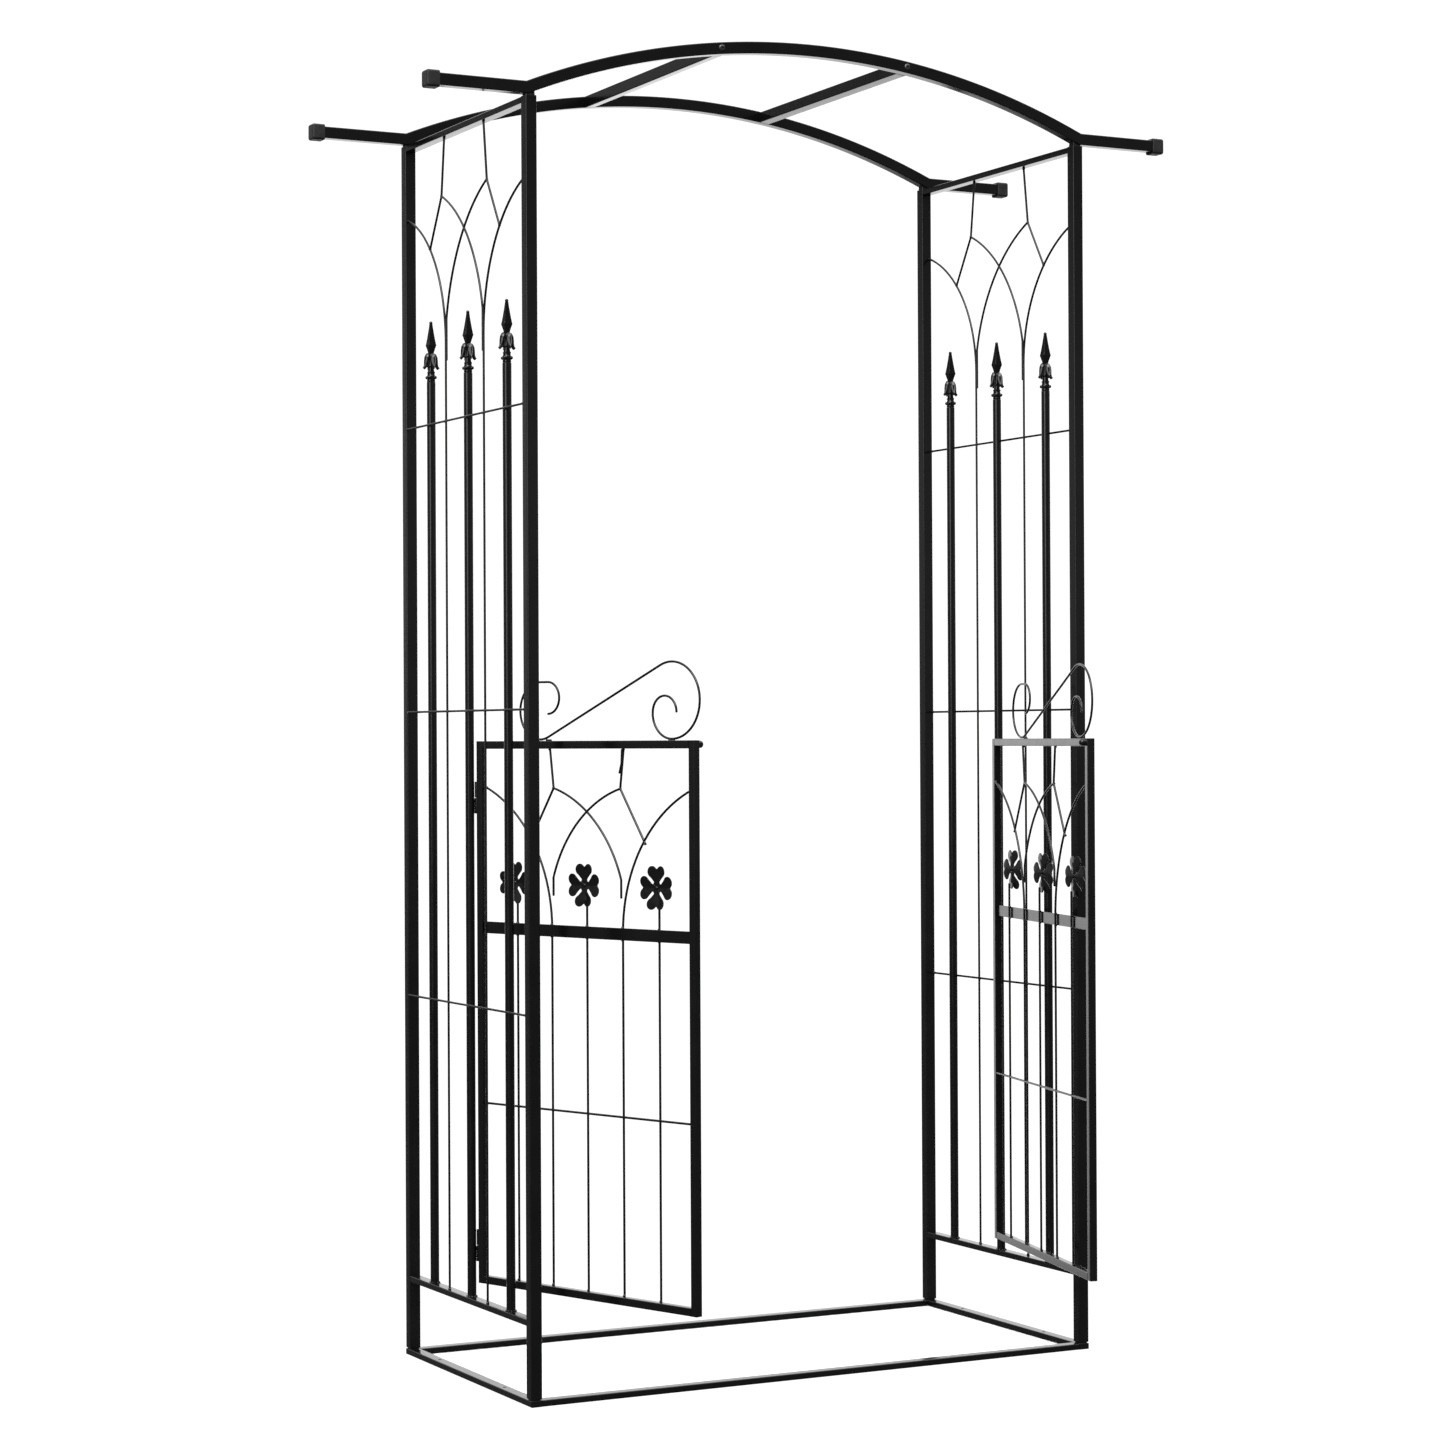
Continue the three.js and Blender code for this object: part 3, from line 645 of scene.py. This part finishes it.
def panel_wires(side, out):
    upright_x = out * (POST_X + PANEL_WIRE_OUT)
    level_x = out * (POST_X + CROSS_WIRE_OUT)
    stem = PICKET_SPACING / 2
    post_face = (PANEL_DEPTH - POST) / 2 - GAP
    foot = RAIL_LOW_Z + GAP
    rail_under = RAIL_TOP_Z - BAR_HEIGHT - GAP
    lines = [[(a, foot + 1), (a, 1666)] for a in (-stem, stem)]
    lines += tracery(stem, 1664, 235, post_face - 0.6, 92.5, 1906, 1842.5, 1704, 1637.5,
                     141.5, 1826, rail_under - 1, 80.5)
    parts = [wire([(upright_x, MIDDLE_Y + a, z) for a, z in line], (1, 0, 0)) for line in lines]
    for z in CROSS_WIRE_Z:
        ends = [(level_x, MIDDLE_Y + way * (post_face - 1), z) for way in (-1, 1)]
        parts.append(wire(ends, (1, 0, 0)))
    add_piece(f"{side}_trellis_wires", parts, wire_paint, "frame", [f"{side}_panel_wirework"])
    welds = []
    spots = [(upright_x, a, foot + 1.0) for a in (-stem, stem)]
    spots += [(upright_x, a, rail_under - 1.0) for a in (-80.5, 80.5)]
    spots += [(upright_x, a, 1885) for a in (-post_face + 1.5, post_face - 1.5)]
    spots += [(upright_x, a, 1906) for a in (-92.5, 92.5)]
    spots += [(upright_x, a, 1826) for a in (-141.5, 141.5)]
    spots += [(level_x, a, z) for a in (-post_face + 1.2, post_face - 1.2) for z in CROSS_WIRE_Z]
    spots += [((upright_x + level_x) / 2, a, z) for a in (-stem, stem) for z in CROSS_WIRE_Z]
    for seed, (x, a, z) in enumerate(spots):
        welds.append(weld_bead((x, MIDDLE_Y + a, z), 2.7, 2.4, seed))
    for seed, offset in enumerate((-1, 0, 1)):
        rail_y = MIDDLE_Y + offset * PICKET_SPACING
        for k in range(10):
            angle = 2 * math.pi * k / 10
            x = out * (POST_X - PICKET_IN) + 7.4 * math.cos(angle)
            y = rail_y + 7.4 * math.sin(angle)
            welds.append(weld_bead((x, y, foot + 0.4), 2.0, 1.3, 40 + 10 * seed + k))
    add_piece(f"{side}_trellis_welds", welds, wire_paint, "frame")


def hinge_pins(side, out):
    """Lower, fixed halves of the two hinges, welded to the middle picket."""
    axis_x = out * (POST_X - HINGE_INSET)
    axis_y = MIDDLE_Y - HINGE_FORWARD
    half = HINGE_HEIGHT / 2
    towards = math.degrees(math.atan2(HINGE_FORWARD, out * (HINGE_INSET - PICKET_IN)))
    reach = math.hypot(HINGE_INSET - PICKET_IN, HINGE_FORWARD) - PICKET / 2
    for where, z in zip(("lower", "upper"), HINGE_Z):
        barrel = [(0.4, z - half), (HINGE_RADIUS - 0.5, z - half), (HINGE_RADIUS, z - half + 0.6),
                  (HINGE_RADIUS, z - GAP - 0.6), (HINGE_RADIUS - 0.4, z - GAP),
                  (1.9, z - GAP), (1.9, z + 11), (0.4, z + 12)]
        parts = [shifted(lathe(barrel), axis_x, axis_y, 0)]
        web = turned(shifted(bar(half - 2, reach, 3.4, 0.8), reach / 2, 0, z - half + 1), towards, "Z")
        parts.append(shifted(web, axis_x, axis_y, 0))
        for seed in range(7):
            lump = weld_bead((reach - 0.6, 0, z - half + 2 + seed * 3.4), 2.4, 2.0, 70 + seed)
            parts.append(shifted(turned(lump, towards, "Z"), axis_x, axis_y, 0))
        node = f"{side}_hinge_pin_{where}"
        add_piece(f"{side}_hinge_seat_{where}", parts, gate_paint, "frame", [node])


# ---------- gates ----------

GATE_MIDDLE = GATE_START + GATE_LENGTH / 2
GATE_WIRE_SPACING = (GATE_LENGTH - GATE_TUBE) / 6
GATE_INNER = GATE_LENGTH / 2 - GATE_TUBE - GAP
SCROLL_START = GATE_START - 0.3


def clover_leaf(bend):
    """Heart-shaped leaf creased down its middle, its tip bent forward (-Y)."""
    half = [(0.0, 28.6), (0.5, 29.2)] + arc(8.9, 24.4, 9.0, 146, -45, 16)
    half += [(11.5, 15.1)] + arc(8.2, 8.2, 2.5, 135, 225, 4) + [(2.5, 2.2)]
    rim = half + [(-a, z) for a, z in reversed(half[1:])]
    centre = Vector((0, 17.0))
    rings = []
    layers = ((0.2, 0.0), (0.45, 0.0), (0.7, 0.0), (0.88, 0.0), (0.97, 0.15), (1.0, 0.6), (1.0, 1.2),
              (0.97, 1.65), (0.88, 1.8), (0.7, 1.8), (0.45, 1.8), (0.2, 1.8))
    for share, depth in layers:
        ring = []
        for a, z in rim:
            spot = centre + (Vector((a, z)) - centre) * share
            forward = bend * (spot.length / 33) ** 2
            fold = 2.0 * abs(spot.x) / 17
            ring.append((spot.x, depth - 1.4 - forward - fold, spot.y))
        rings.append(ring)
    return rings_to_part(rings)


def clover(twist, x, z):
    """Four leaves round a rivet, turned about the stem by the given twist."""
    parts = [turned(clover_leaf(bend), 90 * k, "Y") for k, bend in enumerate((0.4, 1.2, 2.8, 1.2))]
    rivet = [(0.3, 0.0), (2.9, 0.0), (3.0, 0.5), (2.6, 1.2), (1.7, 1.8), (0.3, 2.1)]
    parts.append(shifted(turned(lathe(rivet, 20), 90, "X"), 0, -1.2, 0))
    parts.append(turned(lathe([(0.3, 0.0), (2.4, 0.0), (2.4, 3.2), (0.3, 3.2)], 16), -90, "X"))
    return [shifted(turned(part, twist, "Z"), x, 0, z) for part in parts]


def scroll_points(inward):
    """Centre line of the S-shaped wire that stands on a gate's top rail."""
    low = GATE_TOP_Z + WIRE / 2 + GAP
    large_z = low + 58.5
    small_z = low + 45
    points = arc(414, large_z - 18, 25, 0, 180, 20)
    points += arc(429, low + 40.5, 40.5, 180, 270, 12)[1:]
    points += arc(429, large_z, 58.5, -90, 114.5, 36)[1:]
    points += arc(142, small_z, 45, 294.5, 90, 30)
    points += arc(160, small_z + 20, 25, 90, -90, 20)
    return [(inward * (SCROLL_START + a), 0, z) for a, z in points]


def gate_wire_lines(spare_tail):
    foot = GATE_LOW_Z + GATE_TUBE + GAP + 1
    rail_under = GATE_TOP_Z - GATE_TUBE - GAP - 1
    lines = [[(n * GATE_WIRE_SPACING, foot), (n * GATE_WIRE_SPACING, 727)] for n in (-1, 1)]
    lines += [[(n * GATE_WIRE_SPACING, foot), (n * GATE_WIRE_SPACING, CLOVER_Z - 24)] for n in (-2, 0, 2)]
    lines += tracery(GATE_WIRE_SPACING, 725, 238, GATE_INNER - 0.6, 73.5, 946, 910, 806, 778,
                     127, 862, rail_under, 81)
    lines.append([(-GATE_INNER + 1, GATE_CROSS_Z), (GATE_INNER - 1, GATE_CROSS_Z)])
    if spare_tail:
        lines.append([(77.5, rail_under), (76.6, 985), (72, 970)])
    return lines


def gate_weld_spots():
    foot = GATE_LOW_Z + GATE_TUBE + GAP + 1
    rail_under = GATE_TOP_Z - GATE_TUBE - GAP - 1
    spots = [(n * GATE_WIRE_SPACING, foot) for n in (-2, -1, 0, 1, 2)]
    for z in (MID_RAIL_Z - MID_RAIL_HEIGHT / 2, MID_RAIL_Z + MID_RAIL_HEIGHT / 2):
        spots += [(n * GATE_WIRE_SPACING, z) for n in (-2, -1, 0, 1, 2)]
    spots += [(a, rail_under) for a in (-81, 81)]
    spots += [(a, 946) for a in (-73.5, 73.5)]
    spots += [(a, 862) for a in (-127, 127)]
    spots += [(a, z) for a in (-GATE_INNER + 1.3, GATE_INNER - 1.3) for z in (GATE_CROSS_Z, 946)]
    return spots


def gate(side, out):
    inward = -out
    place = Matrix.Translation((out * (POST_X - HINGE_INSET), MIDDLE_Y - HINGE_FORWARD, 0))
    place = place @ Matrix.Rotation(math.radians(out * GATE_OPEN[side]), 4, "Z")
    body = f"{side}_gate"

    def piece(name, parts, material, slot, stands_for=(), sharp=40):
        placed = [moved(part, place) for part in parts]
        nodes = [f"{body}_{node}" for node in stands_for]
        add_piece(f"{body}_{name}", placed, material, body, nodes, sharp)

    height = GATE_TOP_Z - GATE_LOW_Z
    hinge_x = inward * (GATE_START + GATE_TUBE / 2)
    free_x = inward * (GATE_START + GATE_LENGTH - GATE_TUBE / 2)
    stile = bar(height, GATE_TUBE, GATE_TUBE, GATE_EDGE)
    half = HINGE_HEIGHT / 2
    hinge_parts = [shifted(stile, hinge_x, 0, GATE_LOW_Z)]
    for z in HINGE_Z:
        sleeve = [(2.3, GAP), (HINGE_RADIUS - 0.4, GAP), (HINGE_RADIUS, GAP + 0.5),
                  (HINGE_RADIUS, half - 0.5), (HINGE_RADIUS - 0.4, half), (2.3, half)]
        hinge_parts.append(shifted(lathe(sleeve, hollow=True), 0, 0, z))
        hinge_parts.append(shifted(bar(half - 2, 3.0, 4.4, 0.8), inward * 4.3, 0, z + 1))
        for seed in range(7):
            for way in (-1, 1):
                spot = (inward * 4.0, way * 2.6, z + 2 + 3.4 * seed)
                hinge_parts.append(weld_bead(spot, 1.7, 2.0, 90 + seed + 7 * way))
    piece("stile_by_hinge", hinge_parts, gate_paint, "gate_paint", ["hinge_stile"])
    nose = [(0.4, 0.0), (5.9, 0.0), (5.9, 11.2), (5.5, 13.2), (4.5, 14.9),
            (3.0, 16.2), (1.5, 16.9), (0.4, 17.0)]
    stud = shifted(turned(lathe(nose, 28), -90, "X"), free_x, GATE_TUBE / 2 - 5, GATE_TOP_Z - GATE_TUBE / 2)
    free_parts = [shifted(stile, free_x, 0, GATE_LOW_Z), stud]
    piece("stile_closing", free_parts, gate_paint, "gate_paint", ["free_stile"])

    rail_length = GATE_LENGTH - 2 * GATE_TUBE - 2 * GAP
    start = inward * GATE_MIDDLE - rail_length / 2
    for where, z in (("top", GATE_TOP_Z - GATE_TUBE / 2), ("bottom", GATE_LOW_Z + GATE_TUBE / 2)):
        rail = shifted(along_x(bar(rail_length, GATE_TUBE, GATE_TUBE, GATE_EDGE)), start, 0, z)
        piece(f"{where}_bar", [rail], gate_paint, "gate_paint", [f"{where}_rail"])
    strip = shifted(along_x(bar(rail_length, MID_RAIL_HEIGHT, MID_RAIL_THICK, 0.8)), start, 0, MID_RAIL_Z)
    piece("middle_strip", [strip], gate_paint, "gate_paint", ["mid_rail"])

    wires = []
    for line in gate_wire_lines(side == "left"):
        wires.append(wire([(inward * (GATE_MIDDLE + a), GATE_WIRE_BACK, z) for a, z in line], (0, 1, 0)))
    piece("wires", wires, wire_paint, "wire_paint", ["wirework"])
    welds = []
    for seed, (a, z) in enumerate(gate_weld_spots()):
        welds.append(weld_bead((inward * (GATE_MIDDLE + a), GATE_WIRE_BACK - 0.5, z), 2.6, 2.2, 120 + seed))
    for seed, a in enumerate((429 - 4, 429 + 3, 158, 164)):
        welds.append(weld_bead((inward * (GATE_START + a), 0, GATE_TOP_Z + 1.0), 3.0, 1.8, 160 + seed))
    piece("welds", welds, wire_paint, "wire_paint")
    piece("scroll_wire", [wire(scroll_points(inward), (0, 1, 0))], wire_paint, "wire_paint", ["scroll"])
    for where, n in (("hinge", -2), ("middle", 0), ("free", 2)):
        parts = clover(CLOVER_TWIST[side], inward * (GATE_MIDDLE + n * GATE_WIRE_SPACING), CLOVER_Z)
        piece(f"four_leaf_{where}", parts, casting_paint, "casting_paint", [f"clover_{where}"], 50)


# ---------- studio ----------

FLOOR_REACH = 6.0
FLOOR_DROP = 0.4


def studio_floor():
    """Plain pale floor inside the ground frame, which the paint does not mirror. It ends under the bars."""
    mesh = bpy.data.meshes.new("studio_floor")
    side = POST_X + FLOOR_REACH
    rear = PANEL_DEPTH + FLOOR_REACH
    corners = [(-side, -FLOOR_REACH), (side, -FLOOR_REACH), (side, rear), (-side, rear)]
    mesh.from_pydata([(x * MM, y * MM, -FLOOR_DROP * MM) for x, y in corners], [], [(0, 1, 2, 3)])
    material, nodes, links, shader = node_material("studio_white")
    place = nodes.new("ShaderNodeTexCoord")
    cloud = noise_texture(nodes, links, 1.5, 2, place)
    stops = [(0.3, (0.90, 0.90, 0.90)), (0.7, (0.92, 0.92, 0.92))]
    tone = colour_ramp(nodes, links, cloud.outputs["Fac"], stops)
    links.new(tone.outputs["Color"], shader.inputs["Base Color"])
    shader.inputs["Roughness"].default_value = 1.0
    shader.inputs["Specular IOR Level"].default_value = 0.0
    mesh.materials.append(material)
    floor = bpy.data.objects.new("studio_floor", mesh)
    floor.visible_glossy = False
    bpy.context.scene.collection.objects.link(floor)


def studio_light():
    """White backdrop behind, light above, a soft box and a key light front left, a dim room elsewhere."""
    world = bpy.data.worlds.new("studio")
    bpy.context.scene.world = world
    world.use_nodes = True
    nodes = world.node_tree.nodes
    links = world.node_tree.links
    place = nodes.new("ShaderNodeTexCoord")
    split = nodes.new("ShaderNodeSeparateXYZ")
    links.new(place.outputs["Generated"], split.inputs["Vector"])

    def ramp(source, start, end, low, high):
        step = nodes.new("ShaderNodeMapRange")
        step.interpolation_type = "SMOOTHSTEP"
        step.inputs["From Min"].default_value = start
        step.inputs["From Max"].default_value = end
        step.inputs["To Min"].default_value = low
        step.inputs["To Max"].default_value = high
        links.new(source, step.inputs["Value"])
        return step.outputs["Result"]

    def facing(azimuth, elevation):
        """Cosine of the angle from a direction, azimuth 0 along +Y and 90 along +X."""
        a = math.radians(azimuth)
        e = math.radians(elevation)
        dot = nodes.new("ShaderNodeVectorMath")
        dot.operation = "DOT_PRODUCT"
        links.new(place.outputs["Generated"], dot.inputs[0])
        dot.inputs[1].default_value = (math.sin(a) * math.cos(e), math.cos(a) * math.cos(e), math.sin(e))
        return dot.outputs["Value"]

    def combine(operation, first, second):
        step = nodes.new("ShaderNodeMath")
        step.operation = operation
        links.new(first, step.inputs[0])
        links.new(second, step.inputs[1])
        return step.outputs["Value"]

    height = split.outputs["Z"]
    room = combine("MULTIPLY", ramp(height, -0.06, 0.06, 0.11, 0.30), ramp(height, 0.08, 0.20, 1.0, 0.4))
    white = combine("MULTIPLY", ramp(height, -0.06, 0.01, 1.6, 2.0), ramp(height, 0.04, 0.18, 1.0, 0.6))
    backdrop = combine("MULTIPLY", ramp(facing(27, 15), 0.72, 0.80, 0.0, 1.0), white)
    overhead = ramp(height, 0.46, 0.65, 0.0, 1.8)
    soft_box = ramp(facing(-122, 15), 0.955, 0.975, 0.0, 3.4)
    key_light = ramp(facing(-140, 48), 0.94, 0.96, 0.0, 9.0)
    lamps = combine("MAXIMUM", soft_box, key_light)
    light = combine("MAXIMUM", combine("MAXIMUM", room, backdrop), combine("MAXIMUM", overhead, lamps))
    background = nodes["Background"]
    links.new(light, background.inputs["Strength"])
    background.inputs["Color"].default_value = (1, 1, 1, 1)
    plain = nodes.new("ShaderNodeBackground")
    plain.inputs["Color"].default_value = (1, 1, 1, 1)
    plain.inputs["Strength"].default_value = 1.1
    path = nodes.new("ShaderNodeLightPath")
    choose = nodes.new("ShaderNodeMixShader")
    links.new(path.outputs["Is Camera Ray"], choose.inputs["Fac"])
    links.new(background.outputs["Background"], choose.inputs[1])
    links.new(plain.outputs["Background"], choose.inputs[2])
    links.new(choose.outputs["Shader"], nodes["World Output"].inputs["Surface"])
    bpy.context.scene.view_settings.view_transform = "Standard"


def camera():
    """Long lens at chest height, in front of the arch and to its left."""
    yaw = math.radians(27.43)
    pitch = math.radians(0.29)
    roll = math.radians(0.27)
    forward = Vector((math.sin(yaw) * math.cos(pitch), math.cos(yaw) * math.cos(pitch), math.sin(pitch)))
    level = Vector((math.cos(yaw), -math.sin(yaw), 0))
    down = forward.cross(level)
    right = math.cos(roll) * level + math.sin(roll) * down
    up = math.sin(roll) * level - math.cos(roll) * down
    data = bpy.data.cameras.new("camera")
    data.sensor_width = 36
    data.lens = 82.44
    data.clip_end = 100
    view = bpy.data.objects.new("camera", data)
    turn = Matrix((right, up, -forward)).transposed().to_4x4()
    view.matrix_world = Matrix.Translation((-2.5784, -4.6407, 1.0212)) @ turn
    bpy.context.scene.collection.objects.link(view)
    bpy.context.scene.camera = view


ground_bars()
posts()
arches()
rungs()
for side_name, side_out in SIDES.items():
    side_panel(side_name, side_out)
    hinge_pins(side_name, side_out)
    gate(side_name, side_out)
studio_floor()
studio_light()
camera()
